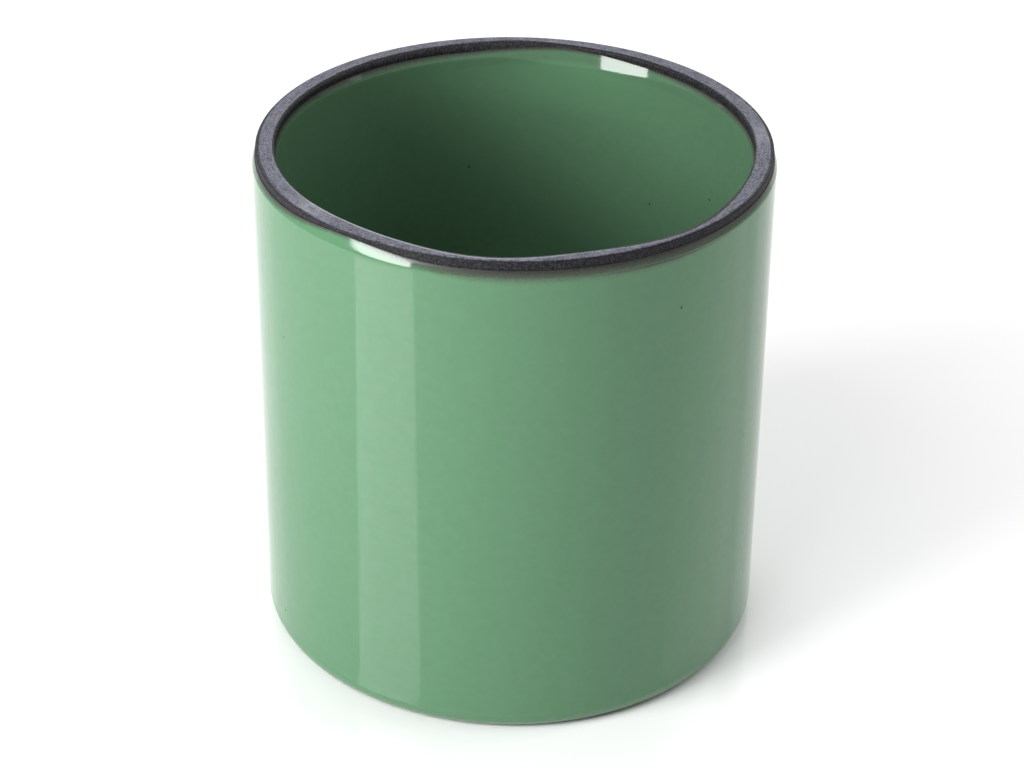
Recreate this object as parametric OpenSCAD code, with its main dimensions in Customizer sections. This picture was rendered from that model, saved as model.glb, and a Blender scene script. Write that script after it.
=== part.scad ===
// Brush holder pot: a straight-sided, handleless beaker of dark clay, glazed
// outside and inside, with a bare sanded lip and a bare foot.
// Millimetres. +Z up; the origin is the middle of the foot, on the table plane.

/* [Pot] */
// Outside diameter over the glaze
pot_d = 80; // [60:1:110]
// Height from the table to the top of the lip
pot_h = 82.2; // [60:0.1:120]
// Radius of the rounded corner between wall and base, on the clay
base_round = 3; // [3:0.25:8]

/* [Clay] */
// Thickness of the clay wall
wall_t = 3.15; // [2.6:0.05:5]
// Thickness of the clay floor, measured inside the foot ring
floor_t = 4.2; // [3:0.1:6]
// Radius of the hollow where the wall meets the floor, on the clay
floor_round = 6.5; // [3:0.25:10]

/* [Lip] */
// Rounding of the lip's outer edge
lip_outer_round = 0.4; // [0.3:0.05:1.2]
// Rounding of the lip's inner edge
lip_inner_round = 1; // [0.4:0.05:1.05]

/* [Foot] */
// Width of the flat ring that the pot stands on
foot_w = 5.5; // [3:0.25:8]
// Depth of the shallow dish inside the foot ring
foot_dish = 0.7; // [0.3:0.1:1.2]

/* [Glaze] */
// Thickness of each coat of glaze
glaze_t = 0.35; // [0.2:0.05:0.4]
// Bare clay left below the lip outside
bare_outside = 1.3; // [1.3:0.1:5]
// Bare clay left below the lip inside
bare_inside = 1.1; // [1.1:0.1:5]
// How far the outer glaze runs round the base corner, in degrees
wrap_under = 58; // [30:1:60]

/* [Hidden] */
$fn = 180;

clay_r = pot_d / 2 - glaze_t;          // outside of the clay wall
hollow_r = clay_r - wall_t;            // inside of the clay wall
floor_z = foot_dish + floor_t;         // top of the clay floor
foot_r = clay_r - base_round;          // outer edge of the foot ring
dish_r = foot_r - foot_w;              // rim of the dish inside the foot ring
corner_z = base_round;                 // height of the base corner's centre
outer_top = pot_h - bare_outside;      // upper edge of the outer glaze
inner_top = pot_h - bare_inside;       // upper edge of the inner glaze
spare = 1;                             // how far cutters run past what they cut

// Half section of a solid of radius r from z = 0 to top, its lower corner rounded
module tumbler_half(r, top, lower_round) {
    translate([0, lower_round]) square([r, top - lower_round]);
    square([r - lower_round, lower_round + spare]);
    translate([r - lower_round, lower_round]) circle(lower_round);
}

// The square corner outside a quarter round; the quarter's centre is the origin
module corner_waste(round_r) {
    difference() {
        square(round_r + spare);
        circle(round_r);
    }
}

// Half section of the outside of the clay, with the lip's outer edge rounded
module clay_outside() {
    difference() {
        tumbler_half(clay_r, pot_h, base_round);
        translate([clay_r - lip_outer_round, pot_h - lip_outer_round])
            corner_waste(lip_outer_round);
    }
}

// Half section of the hollow, drawn in by inset all over, up to the height top
module hollow_half(inset, top) {
    translate([0, floor_z + inset])
        tumbler_half(hollow_r - inset, top - floor_z - inset, floor_round - inset);
}

// Half section of the shallow dish under the floor
module dish_half() {
    translate([0, -spare]) square([dish_r - foot_dish, foot_dish + spare]);
    difference() {
        translate([0, -spare]) square([dish_r, foot_dish + spare]);
        translate([dish_r, foot_dish]) circle(foot_dish);
    }
}

// The fired clay: wall, floor, foot ring and sanded lip in one piece
module clay_body() {
    color([0.16, 0.16, 0.17])
        rotate_extrude() difference() {
            clay_outside();
            hollow_half(0, pot_h + spare);
            translate([hollow_r + lip_inner_round, pot_h - lip_inner_round])
                mirror([1, 0]) corner_waste(lip_inner_round);
            dish_half();
        }
}

// The glaze on the outside: round the base corner, up the wall, ending in a bead
module outer_glaze() {
    color([0.42, 0.62, 0.46])
        rotate_extrude() difference() {
            union() {
                translate([hollow_r, corner_z])
                    square([clay_r + glaze_t - hollow_r, outer_top - glaze_t - corner_z]);
                translate([clay_r, outer_top - glaze_t]) circle(glaze_t);
                translate([foot_r, corner_z]) {
                    intersection() {
                        circle(base_round + glaze_t);
                        wrap_wedge();
                    }
                    rotate(-wrap_under) translate([base_round, 0]) circle(glaze_t);
                }
            }
            tumbler_half(clay_r, pot_h, base_round);
        }
}

// The part of the base corner that the outer glaze covers, as a wedge of its section
module wrap_wedge() {
    reach = 2 * (base_round + glaze_t);
    polygon([[0, 0], [reach, 0], [reach, -reach * tan(wrap_under / 2)],
             [reach * cos(wrap_under), -reach * sin(wrap_under)]]);
}

// The glaze on the inside: floor, inner corner and wall, ending in a bead
module inner_glaze() {
    color([0.30, 0.46, 0.34])
        rotate_extrude() difference() {
            intersection() {
                union() {
                    hollow_half(0, inner_top - glaze_t);
                    translate([hollow_r, inner_top - glaze_t]) circle(glaze_t);
                }
                hollow_half(0, pot_h);
            }
            difference() {
                hollow_half(glaze_t, pot_h + spare);
                translate([hollow_r, inner_top - glaze_t]) circle(glaze_t);
            }
        }
}

clay_body();
outer_glaze();
inner_glaze();
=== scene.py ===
import math

import bmesh
import bpy
from mathutils import Matrix, Vector, noise


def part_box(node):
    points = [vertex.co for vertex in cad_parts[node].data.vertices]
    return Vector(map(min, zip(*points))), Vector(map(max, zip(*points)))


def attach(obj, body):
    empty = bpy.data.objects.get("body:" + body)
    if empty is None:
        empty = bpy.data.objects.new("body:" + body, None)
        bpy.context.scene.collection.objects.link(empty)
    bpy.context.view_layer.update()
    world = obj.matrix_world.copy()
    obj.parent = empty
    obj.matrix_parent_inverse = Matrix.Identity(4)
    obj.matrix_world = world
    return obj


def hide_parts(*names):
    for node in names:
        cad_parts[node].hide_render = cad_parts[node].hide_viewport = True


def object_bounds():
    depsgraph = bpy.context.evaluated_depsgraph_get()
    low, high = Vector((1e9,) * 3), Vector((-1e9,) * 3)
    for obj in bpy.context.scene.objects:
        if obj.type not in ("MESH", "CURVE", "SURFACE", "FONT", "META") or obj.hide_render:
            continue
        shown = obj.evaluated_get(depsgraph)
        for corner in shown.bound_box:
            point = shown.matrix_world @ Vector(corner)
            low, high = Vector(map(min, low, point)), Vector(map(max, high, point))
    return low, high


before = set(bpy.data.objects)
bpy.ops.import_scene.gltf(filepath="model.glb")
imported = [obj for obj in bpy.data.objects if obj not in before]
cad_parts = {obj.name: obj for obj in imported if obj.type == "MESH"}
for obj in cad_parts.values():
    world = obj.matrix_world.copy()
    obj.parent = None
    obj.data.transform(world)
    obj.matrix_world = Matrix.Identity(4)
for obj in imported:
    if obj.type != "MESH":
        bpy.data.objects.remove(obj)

cad_low, cad_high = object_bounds()

# ---------------------------------------------------------------- viewpoint
# A view from standing height over a desk, looking down into the pot at about 30 degrees.
# Lengths are in metres and angles in degrees; the eye is straight in front of the pot.
eye_back = 0.3715
eye_height = 0.2587
look_down = 30.606
lean = 0.675
lens = 94.56

camera_data = bpy.data.cameras.new("viewpoint")
camera_data.lens = lens
camera_data.sensor_width = 36
camera_data.clip_start = 0.01
camera = bpy.data.objects.new("viewpoint", camera_data)
camera.matrix_world = (
    Matrix.Translation((0, -eye_back, eye_height))
    @ Matrix.Rotation(math.radians(90 - look_down), 4, "X")
    @ Matrix.Rotation(math.radians(lean), 4, "Z")
)
bpy.context.scene.collection.objects.link(camera)
bpy.context.scene.camera = camera
bpy.context.scene.view_settings.view_transform = "Standard"

# ---------------------------------------------------------------- table and light
# A white acrylic table with a shine, under soft studio light: a bright softbox low on the
# left that shows in the glaze, with wide dim ones round the pot.
table_size = 6.0

bm = bmesh.new()
bmesh.ops.create_grid(bm, x_segments=2, y_segments=2, size=table_size / 2)
table_mesh = bpy.data.meshes.new("table")
bm.to_mesh(table_mesh)
bm.free()
table = bpy.data.objects.new("table", table_mesh)
bpy.context.scene.collection.objects.link(table)

acrylic = bpy.data.materials.new("white_acrylic")
acrylic.use_nodes = True
acrylic_shader = acrylic.node_tree.nodes["Principled BSDF"]
acrylic_shader.inputs["Base Color"].default_value = (0.96, 0.96, 0.96, 1)
acrylic_shader.inputs["Roughness"].default_value = 0.6
acrylic_shader.inputs["Coat Weight"].default_value = 1.0
acrylic_shader.inputs["Coat Roughness"].default_value = 0.04
table_mesh.materials.append(acrylic)


def softbox(name, azimuth, distance, height, width, tall, radiance, aim_height=0.04):
    """An area light aimed at the pot; azimuth 0 is behind the viewer, 90 is on the right."""
    turn = math.radians(azimuth)
    place = Vector((distance * math.sin(turn), -distance * math.cos(turn), height))
    light = bpy.data.lights.new(name, "AREA")
    light.shape = "RECTANGLE"
    light.size = width
    light.size_y = tall
    light.energy = radiance * math.pi * width * tall
    lamp = bpy.data.objects.new(name, light)
    facing = (place - Vector((0, 0, aim_height))).to_track_quat("Z", "Y")
    lamp.matrix_world = Matrix.Translation(place) @ facing.to_matrix().to_4x4()
    bpy.context.scene.collection.objects.link(lamp)


softbox("left_softbox", -56, 0.46, 0.25, 0.245, 0.19, 17.5)
softbox("high_left_front", -40, 0.80, 0.95, 0.60, 0.50, 4.2)
softbox("high_right", 95, 0.75, 0.85, 0.60, 0.50, 2.6)
softbox("low_right", 100, 0.90, 0.45, 0.70, 0.50, 1.0)
softbox("high_behind", 180, 0.70, 0.95, 0.80, 0.50, 1.5)
softbox("backdrop", 180, 1.30, 0.62, 2.60, 1.20, 1.1)

room = bpy.data.worlds.new("room")
room.use_nodes = True
room.node_tree.nodes["Background"].inputs["Color"].default_value = (0.34, 0.34, 0.34, 1)
bpy.context.scene.world = room

# ---------------------------------------------------------------- clay body
# The beaker itself: slip-cast dark stoneware, fired to charcoal. Its lip was sponged
# round and then rubbed flat on top, and its foot ring was rubbed flat to stand level.
mm = 0.001
pot_h = cad_high.z
clay_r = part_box("clay_body")[1].x
coat_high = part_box("outer_glaze")[1]
coat_r = coat_high.x
coat_top = coat_high.z
coat_t = coat_r - clay_r
lining_low, lining_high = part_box("inner_glaze")
hollow_r = lining_high.x
floor_top = lining_low.z
base_round = 3.0 * mm
floor_round = 6.5 * mm
foot_w = 5.5 * mm
dish = 0.7 * mm
lip_outer_round = 0.30 * mm
lip_side_round = 0.65 * mm
plain_edge = 1.0 * mm
corner_reach = 0.2 * mm
rubbed_band = 6 * mm
mouth_band = 8 * mm
worn_blend = 5 * mm
edge_reach = 12 * mm
scuff_grain = 0.9 * mm
touch = 0.01 * mm
hair = 0.001 * mm
turns = 384

# The glaze slopes off to both its edges, and the clay is rubbed back to meet it.
slope = math.tan(math.radians(24))
slope_least = 1.00 * mm
slope_softness = 0.10 * mm
edge_proud = 0.10 * mm
flare_least = 1.10 * mm
clay_share = 0.42


def arc(centre_r, centre_z, radius, start, end, steps):
    """Points of a round stretch of a section; angle 0 points outwards and 90 up."""
    angles = [math.radians(start + (end - start) * i / steps) for i in range(steps + 1)]
    return [(centre_r + radius * math.cos(a), centre_z + radius * math.sin(a)) for a in angles]


def straight(start, end, steps):
    """Points along a straight stretch of a section, without its two ends."""
    shares = [i / steps for i in range(1, steps)]
    return [(start[0] + (end[0] - start[0]) * s, start[1] + (end[1] - start[1]) * s) for s in shares]


def round_position(co):
    """Angle round the pot: 0 at the right, 90 in front, 180 at the left, 270 behind."""
    return math.degrees(math.atan2(-co.y, co.x)) % 360


def hump(angle, centre, width):
    """A smooth hump of height 1 round the pot, centred on an angle."""
    away = (angle - centre + 180) % 360 - 180
    return math.exp(-((away / width) ** 2))


def past(length, softness):
    """The length when it is above nought, else nought, with the corner softened."""
    return 0.5 * (length + math.sqrt(length * length + softness * softness))


def move_out(v, distance):
    """Moves a vertex straight away from the pot's axis."""
    radius = math.hypot(v.co.x, v.co.y)
    v.co.x *= (radius + distance) / radius
    v.co.y *= (radius + distance) / radius


def spin_section(section, marks, ring):
    """Spins a section of (radius, height) points about the pot's axis into one skin.
    marks holds a value for each point, kept on the mesh as the attribute 'mark'."""
    bm = bmesh.new()
    mark = bm.verts.layers.float.new("mark")
    points = [bm.verts.new((r, 0, z)) for r, z in section]
    for point, value in zip(points, marks):
        point[mark] = value
    pairs = list(zip(points, points[1:]))
    if ring:
        pairs.append((points[-1], points[0]))
    edges = [bm.edges.new(pair) for pair in pairs]
    bmesh.ops.spin(bm, geom=points + edges, cent=(0, 0, 0), axis=(0, 0, 1),
                   angle=2 * math.pi, steps=turns, use_merge=True)
    bmesh.ops.remove_doubles(bm, verts=bm.verts, dist=2 * hair)
    bmesh.ops.recalc_face_normals(bm, faces=bm.faces)
    return bm


def finish_piece(name, bm, material, node):
    """Finishes a spun skin as one smooth piece, in place of a plain solid."""
    mesh = bpy.data.meshes.new(name)
    bm.to_mesh(mesh)
    bm.free()
    mesh.shade_smooth()
    mesh.materials.append(material)
    piece = bpy.data.objects.new(name, mesh)
    bpy.context.scene.collection.objects.link(piece)
    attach(piece, "root")
    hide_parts(node)


def hand_wave(co, reach):
    """Slow unevenness of a cast and wiped surface, between 0 and 1."""
    return 0.5 + 0.5 * noise.noise(co * (1 / reach))


def edge_round(angle):
    """Radius of the lip's inner edge, which the sponge wore more in some places."""
    in_front = 2.0 * hump(angle, 95, 18) + 2.2 * hump(angle, 51, 20)
    behind = 0.9 * hump(angle, 270, 11) + 0.5 * hump(angle, 245, 32)
    sharp = 0.25 * hump(angle, 133, 14) + 0.2 * hump(angle, 8, 12)
    return (0.45 + in_front + behind - sharp) * mm


def lining_flare(angle):
    """How deep the inner glaze's sloping edge runs; it is deepest behind, to the right."""
    right = 1.3 * hump(angle, 281, 11) + hump(angle, 298, 12)
    return flare_least + (right + 0.25 * hump(angle, 235, 25)) * mm


def at_sides(angle):
    """1 at the left and right of the lip, where its outer edge is worn rounder, else 0."""
    return hump(angle, 0, 34) + hump(angle, 180, 34)


def scuffs(angle):
    """Where the rubbed lip was scuffed pale: at the front left and at the right."""
    return hump(angle, 141, 5) + 0.8 * hump(angle, 356, 6)


def coat_slope_depth(angle):
    """How deep the outer glaze's sloping edge runs; it is deepest in front, to the left."""
    return slope_least + 0.70 * hump(angle, 126, 15) * mm


def edge_wander(angle):
    """How far the wiped edge of the outer glaze wanders up and down."""
    ragged = 0.10 * noise.noise(Vector((angle * 1.1, 0, 0))) * hump(angle, 126, 20)
    slow = 0.09 * math.sin(math.radians(2 * angle + 40)) + 0.06 * math.sin(math.radians(5 * angle))
    rise = 0.80 * hump(angle, 128, 15) + 0.20 * hump(angle, 126, 20) - 0.20
    return (slow + ragged + rise) * mm


def coat_drop(angle, depth):
    """How far the outer glaze's face slopes in, at a depth below its edge."""
    return slope * past(coat_slope_depth(angle) - depth, slope_softness)


def clay_gives_outside(angle, height):
    """How far the clay is rubbed back above and under the outer glaze's sloping edge."""
    depth = max(0.0, coat_top + edge_wander(angle) - height)
    return max(0.0, coat_drop(angle, depth) - coat_t + edge_proud)


foot_r = clay_r - base_round
dish_r = foot_r - foot_w
lip_start = pot_h - lip_outer_round
flat_outer = clay_r - lip_outer_round
flat_inner = hollow_r + plain_edge

section = [(0, dish)]
section += straight((0, dish), (dish_r - dish, dish), 24)
section += arc(dish_r, dish, dish, 180, 270, 6)
section += straight((dish_r, 0), (foot_r, 0), 6)
section += arc(foot_r, base_round, base_round, -90, 0, 16)
section += straight((clay_r, base_round), (clay_r, lip_start - rubbed_band), 50)
section += [(clay_r, lip_start - rubbed_band)]
section += straight((clay_r, lip_start - rubbed_band), (clay_r, lip_start), 24)
section += arc(flat_outer, lip_start, lip_outer_round, 0, 90, 8)
flat_first = len(section) - 4
section += straight((flat_outer, pot_h), (flat_inner, pot_h), 8)
flat_last = len(section)
section += arc(flat_inner, pot_h - plain_edge, plain_edge, 90, 180, 14)
section += straight((hollow_r, pot_h - plain_edge), (hollow_r, pot_h - mouth_band), 30)
section += straight((hollow_r, pot_h - mouth_band), (hollow_r, floor_top + floor_round), 30)
section += arc(hollow_r - floor_round, floor_top + floor_round, floor_round, 0, -90, 16)
section += straight((hollow_r - floor_round, floor_top), (0, floor_top), 20)
section += [(0, floor_top)]
rubbed_and_sheen_marks = [1.0 if flat_first <= i <= flat_last else 0.0 for i in range(len(section))]
bm = spin_section(section, rubbed_and_sheen_marks, ring=False)

# The edges are worn by a different amount at each place, and the mouth flares a little where
# the inner glaze runs deep. The mark is 1 on the rubbed flat, which is painted lighter, partly as a
# painted sheen, and rises past 1 where it is scuffed and along its inner corner, which carries a
# painted glint.
mark = bm.verts.layers.float["mark"]
for v in bm.verts:
    radius = math.hypot(v.co.x, v.co.y)
    inside = radius < flat_outer - 2 * touch
    turn = round_position(v.co)
    if v.co.z > lip_start - touch:
        # The outer edge of the lip is rounder at the sides, so the flat starts further in.
        extra = (lip_side_round - lip_outer_round) * at_sides(turn)
        if not inside:
            if v.co.z < pot_h - hair:
                v[mark] *= 1 - at_sides(turn)
            move_out(v, -extra * (clay_r - radius) / lip_outer_round)
        elif radius > flat_inner:
            extra += clay_gives_outside(turn, v.co.z)
            move_out(v, -extra * (radius - flat_inner) / (flat_outer - flat_inner))
        if v[mark] > 0.9:
            v[mark] = 1.0 + 0.3 * scuffs(turn) * hand_wave(v.co, scuff_grain)
    if v.co.z > lip_start - rubbed_band and not inside:
        move_out(v, -clay_gives_outside(turn, v.co.z))
    if v.co.z > pot_h - edge_reach and inside:
        edge = edge_round(turn)
        depth = pot_h - v.co.z
        inward = flat_inner - radius
        if depth > plain_edge:
            share = min(1.0, (depth - plain_edge) / worn_blend)
            v.co.z = pot_h - edge - (depth - plain_edge) - share * (plain_edge - edge)
        else:
            v.co.z = pot_h - depth * edge / plain_edge
            if inward > 0:
                move_out(v, (plain_edge - inward) * (edge / plain_edge - 1))
            else:
                share = 1 + inward / (flat_outer - flat_inner)
                move_out(v, share * (edge - plain_edge))
        # Along the inner corner, mostly at the front, the mark rises past 1: a painted glint, a pale
        # line standing in for light from behind caught on the corner.
        if abs(inward) < corner_reach and depth < corner_reach:
            v[mark] = 1.0 + 0.30 * hump(turn, 112, 42) + 0.25 * hump(turn, 130, 18)
        flare = lining_flare(turn)
        below = max(0.0, lining_high.z - v.co.z)
        on_flat = min(1.0, max(0.0, (flat_outer - radius) / (flat_outer - flat_inner)))
        clay_gives = clay_share * (flare - flare_least) * slope
        move_out(v, clay_gives * max(0.0, 1 - below / flare) * on_flat)


def mottling(tree, place, scale, detail):
    """Fine mottling all over a piece, as a value between 0 and 1."""
    texture = tree.nodes.new("ShaderNodeTexNoise")
    texture.inputs["Scale"].default_value = scale
    texture.inputs["Detail"].default_value = detail
    tree.links.new(place, texture.inputs["Vector"])
    return texture.outputs["Fac"]


def tint(tree, value, low, low_colour, high, high_colour):
    """A colour that runs from one colour to another as a value rises."""
    ramp = tree.nodes.new("ShaderNodeValToRGB")
    ramp.color_ramp.elements[0].position = low
    ramp.color_ramp.elements[0].color = low_colour
    ramp.color_ramp.elements[1].position = high
    ramp.color_ramp.elements[1].color = high_colour
    tree.links.new(value, ramp.inputs["Fac"])
    return ramp.outputs["Color"]


def spread(tree, value, low, high, to_low=0.0, to_high=1.0, kind="LINEAR"):
    """A value moved from one range to another and held at the ends."""
    moved = tree.nodes.new("ShaderNodeMapRange")
    moved.interpolation_type = kind
    moved.inputs["From Min"].default_value = low
    moved.inputs["From Max"].default_value = high
    moved.inputs["To Min"].default_value = to_low
    moved.inputs["To Max"].default_value = to_high
    tree.links.new(value, moved.inputs["Value"])
    return moved.outputs["Result"]


def blend(tree, share, first, second):
    """A blend of two colours, each of them fixed or worked out elsewhere."""
    mix = tree.nodes.new("ShaderNodeMix")
    mix.data_type = "RGBA"
    tree.links.new(share, mix.inputs["Factor"])
    for name, colour in (("A", first), ("B", second)):
        if isinstance(colour, tuple):
            mix.inputs[name].default_value = colour
        else:
            tree.links.new(colour, mix.inputs[name])
    return mix.outputs["Result"]


def surface_mark(tree):
    """The mark kept on the mesh, as a value."""
    attribute = tree.nodes.new("ShaderNodeAttribute")
    attribute.attribute_name = "mark"
    return attribute.outputs["Fac"]


clay = bpy.data.materials.new("charcoal_stoneware")
clay.use_nodes = True
tree = clay.node_tree
shader = tree.nodes["Principled BSDF"]
place = tree.nodes.new("ShaderNodeTexCoord").outputs["Object"]
grain = mottling(tree, place, 3000, 3)
fired_colour = tint(tree, grain, 0.40, (0.004, 0.004, 0.005, 1), 0.68, (0.034, 0.033, 0.040, 1))

# Rubbing left fine scratches that run round the lip: noise that is stretched round the pot.
apart = tree.nodes.new("ShaderNodeSeparateXYZ")
tree.links.new(place, apart.inputs["Vector"])
level = tree.nodes.new("ShaderNodeVectorMath")
level.operation = "MULTIPLY"
level.inputs[1].default_value = (1, 1, 0)
tree.links.new(place, level.inputs[0])
from_axis = tree.nodes.new("ShaderNodeVectorMath")
from_axis.operation = "LENGTH"
tree.links.new(level.outputs["Vector"], from_axis.inputs[0])
across = tree.nodes.new("ShaderNodeMath")
across.operation = "MULTIPLY"
across.inputs[1].default_value = 12
tree.links.new(from_axis.outputs["Value"], across.inputs[0])
along_and_across = tree.nodes.new("ShaderNodeCombineXYZ")
tree.links.new(apart.outputs["X"], along_and_across.inputs["X"])
tree.links.new(apart.outputs["Y"], along_and_across.inputs["Y"])
tree.links.new(across.outputs["Value"], along_and_across.inputs["Z"])
scratches = mottling(tree, along_and_across.outputs["Vector"], 420, 2)
rough_and_scratched = tree.nodes.new("ShaderNodeMix")
rough_and_scratched.data_type = "FLOAT"
rough_and_scratched.inputs["Factor"].default_value = 0.4
tree.links.new(grain, rough_and_scratched.inputs["A"])
tree.links.new(scratches, rough_and_scratched.inputs["B"])
# The rubbed flat on top of the lip is painted lighter and bluer than the fired clay: partly the
# rubbed clay's own tone, partly a painted sheen of the light from behind.
rubbed_and_sheen_colour = tint(tree, rough_and_scratched.outputs["Result"],
                     0.36, (0.036, 0.037, 0.050, 1), 0.64, (0.182, 0.187, 0.236, 1))

# Past mark 1 the clay turns pale grey: real scuffs on the flat, and a painted glint along the inner
# corner.
rubbed_and_sheen = surface_mark(tree)
scuffed_and_glint = spread(tree, rubbed_and_sheen, 1.0, 1.6)
clay_colour = blend(tree, rubbed_and_sheen, fired_colour, rubbed_and_sheen_colour)
edge_colour = blend(tree, scuffed_and_glint, clay_colour, (0.42, 0.43, 0.47, 1))
tree.links.new(edge_colour, shader.inputs["Base Color"])
shader.inputs["Roughness"].default_value = 0.62
shader.inputs["Specular IOR Level"].default_value = 0.25
tooth = tree.nodes.new("ShaderNodeBump")
tooth.inputs["Strength"].default_value = 0.5
tooth.inputs["Distance"].default_value = 0.04 * mm
tree.links.new(grain, tooth.inputs["Height"])
tree.links.new(tooth.outputs["Normal"], shader.inputs["Normal"])
finish_piece("clay_beaker", bm, clay, "clay_body")

# ---------------------------------------------------------------- outer glaze
# Green glaze poured over the outside and wiped off the lip and foot. It is fused to the
# clay, about a third of a millimetre thick, and slopes off to a thin brown-grey edge.
sunk = 0.06 * mm
wrap_under = 58
wrap_close = 4
reach = 3 * mm
edge_thinness = 0.20 * mm
line_depth = 1.35 * mm
line_width = 0.14 * mm
tuck = 0.10 * mm
tuck_reach = 1.3 * mm
wave_depth = 0.035 * mm
wave_length = 22 * mm

section = arc(foot_r, base_round, base_round - sunk, -wrap_under, -wrap_under, 1)[:1]
section += arc(foot_r, base_round, base_round + 0.5 * coat_t, -wrap_under, -wrap_under, 1)[:1]
section += arc(foot_r, base_round, base_round + coat_t, -wrap_under + wrap_close, 0, 20)
section += straight((coat_r, base_round), (coat_r, coat_top - reach), 50)
section += [(coat_r, coat_top - reach)]
section += straight((coat_r, coat_top - reach), (coat_r, coat_top), 40)
section += [(coat_r, coat_top)]
section += straight((clay_r - sunk, coat_top), (clay_r - sunk, base_round), 20)
section += arc(foot_r, base_round, base_round - sunk, 0, -wrap_under + wrap_close, 8)
bm = spin_section(section, [0.0] * len(section), ring=True)

# The mark is the depth below the glaze's edge, as a share of the reach, up to 1. It grows
# more slowly from the front to the right, where the glaze is thin and shows the clay's brown,
# and where a fine brown line runs a little below the edge.
mark = bm.verts.layers.float["mark"]
for v in bm.verts:
    turn = round_position(v.co)
    radius = math.hypot(v.co.x, v.co.y)
    depth = coat_top - v.co.z
    thin = 1 + 0.9 * hump(turn, 58, 22) + 0.8 * hump(turn, 92, 20) - 0.45 * hump(turn, 127, 15)
    v[mark] = min(1.0, (depth + edge_thinness) / (reach * thin))
    if radius > clay_r:
        in_line = math.exp(-(((depth - line_depth) / line_width) ** 2))
        v[mark] *= 1 - 0.75 * hump(turn, 58, 11) * in_line
    near_top = max(0.0, 1 - depth / edge_reach)
    v.co.z += edge_wander(turn) * near_top
    if radius > clay_r and v.co.z > base_round:
        move_out(v, -coat_drop(turn, depth) - wave_depth * hand_wave(v.co, wave_length))
    elif depth < reach:
        tucked = tuck * max(0.0, 1 - depth / tuck_reach)
        move_out(v, -tucked - clay_gives_outside(turn, v.co.z))


def glaze_material(name, full, pale, matt_until):
    """Glossy opaque glaze that thins to brown-grey at its edge, with faint mottling. It is
    matt from its edge down to the mark matt_until, and painted lighter past mark 1, as a painted
    pool of light."""
    glaze = bpy.data.materials.new(name)
    glaze.use_nodes = True
    tree = glaze.node_tree
    shader = tree.nodes["Principled BSDF"]
    place = tree.nodes.new("ShaderNodeTexCoord").outputs["Object"]
    depth = surface_mark(tree)
    body = blend(tree, mottling(tree, place, 700, 4), full, pale)
    painted_light_pool = spread(tree, depth, 1.0, 2.0)
    lightened = blend(tree, painted_light_pool, body, (0.109, 0.246, 0.131, 1))

    pinholes = tree.nodes.new("ShaderNodeTexVoronoi")
    pinholes.inputs["Scale"].default_value = 110
    tree.links.new(place, pinholes.inputs["Vector"])
    speck = spread(tree, pinholes.outputs["Distance"], 0.018, 0.036, 0.75, 0.0)
    specked = blend(tree, speck, lightened, (0.010, 0.012, 0.010, 1))

    shake = tree.nodes.new("ShaderNodeMath")
    shake.operation = "MULTIPLY_ADD"
    shake.inputs[1].default_value = 0.16
    shake.inputs[2].default_value = -0.08
    tree.links.new(mottling(tree, place, 2500, 2), shake.inputs[0])
    uneven = tree.nodes.new("ShaderNodeMath")
    uneven.operation = "ADD"
    tree.links.new(depth, uneven.inputs[0])
    tree.links.new(shake.outputs["Value"], uneven.inputs[1])
    ragged_depth = uneven.outputs["Value"]

    thin = tint(tree, ragged_depth, 0.02, (0.018, 0.017, 0.016, 1), 0.16, (0.060, 0.066, 0.054, 1))
    thick = spread(tree, ragged_depth, 0.10, 0.46, kind="SMOOTHSTEP")
    colour = blend(tree, thick, thin, specked)
    tree.links.new(colour, shader.inputs["Base Color"])
    gloss = spread(tree, ragged_depth, 0.01, matt_until, 0.60, 0.06)
    tree.links.new(gloss, shader.inputs["Roughness"])
    shader.inputs["IOR"].default_value = 1.45
    return glaze


outer_full = (0.083, 0.204, 0.105, 1)
outer_pale = (0.100, 0.228, 0.122, 1)
outer_green = glaze_material("green_glaze_outside", outer_full, outer_pale, 0.22)
finish_piece("outer_coat", bm, outer_green, "outer_glaze")

# ---------------------------------------------------------------- inner glaze
# The same glaze, swilled round the inside and poured out, wiped off the lip. It is a
# little thicker where it pooled below its sloping edge, and it follows the round corner of the
# floor.
# Near the rim behind on the right it is painted lighter: a painted pool of the left softbox's light.
lining_r = hollow_r - coat_t
lining_top = lining_high.z
corner_r = hollow_r - floor_round
corner_z = floor_top + floor_round
fine_band = 4 * mm
pool_depth = 0.30 * mm
pool_reach = 20 * mm
light_reach = 11 * mm
flare_softness = 0.14


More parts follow.
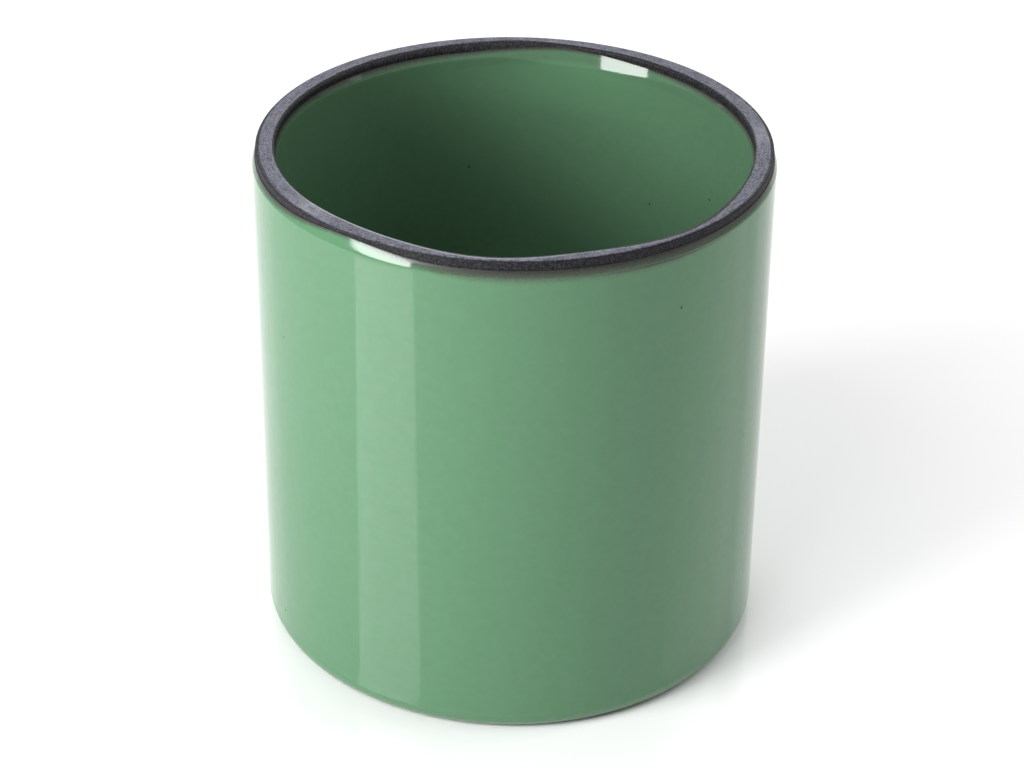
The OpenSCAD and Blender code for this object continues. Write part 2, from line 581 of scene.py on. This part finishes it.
def lining_wander(angle):
    """How far the edge of the inner glaze wanders; it dips where the lip is worn round."""
    rise = 0.10 * hump(angle, 270, 9) + 0.65 * hump(angle, 284, 13)
    dip = 1.0 * hump(angle, 95, 18) + 1.2 * hump(angle, 51, 20)
    return (rise - dip) * mm


section = [(lining_r, lining_top)]
section += straight((lining_r, lining_top), (lining_r, lining_top - fine_band), 50)
section += [(lining_r, lining_top - fine_band)]
section += straight((lining_r, lining_top - fine_band), (lining_r, corner_z), 50)
section += arc(corner_r, corner_z, floor_round - coat_t, 0, -90, 16)
section += straight((corner_r, floor_top + coat_t), (0, floor_top + coat_t), 24)
section += [(0, floor_top + coat_t), (0, floor_top - sunk)]
section += straight((0, floor_top - sunk), (corner_r, floor_top - sunk), 12)
section += arc(corner_r, corner_z, floor_round + sunk, -90, 0, 8)
section += straight((hollow_r + sunk, corner_z), (hollow_r + sunk, lining_top - fine_band), 20)
section += straight((hollow_r + sunk, lining_top - fine_band), (hollow_r + sunk, lining_top), 16)
bm = spin_section(section, [0.0] * len(section), ring=True)
mark = bm.verts.layers.float["mark"]
for v in bm.verts:
    turn = round_position(v.co)
    radius = math.hypot(v.co.x, v.co.y)
    depth = lining_top - v.co.z
    flare = lining_flare(turn)
    # Behind on the right, near the rim, the mark goes past 1: a painted pool of light where the left
    # softbox falls into the pot.
    painted_light_share = hump(turn, 288, 22) * max(0.0, 1 - depth / light_reach) * min(1.0, depth / flare)
    v[mark] = min(1.0, depth / reach) + painted_light_share
    clay_gives = clay_share * (flare - flare_least) * slope
    if depth < pool_reach and radius < hollow_r:
        pool = pool_depth * (flare / flare_least - 1) * min(1.0, depth / flare)
        widen = (coat_t + sunk + clay_gives) * past(1 - depth / flare, flare_softness)
        move_out(v, widen - pool * (1 - depth / pool_reach))
    elif depth < flare and radius > hollow_r:
        move_out(v, clay_gives * (1 - depth / flare))
    near_top = max(0.0, 1 - depth / edge_reach)
    v.co.z += lining_wander(turn) * near_top

# The inside takes a darker, greyer copy of the same green: painted shade, matched to the shaded look
# of the inside.
inner_full = (0.075, 0.160, 0.088, 1)
inner_pale = (0.091, 0.183, 0.106, 1)
inner_green = glaze_material("green_glaze_inside", inner_full, inner_pale, 0.12)
finish_piece("inner_coat", bm, inner_green, "inner_glaze")
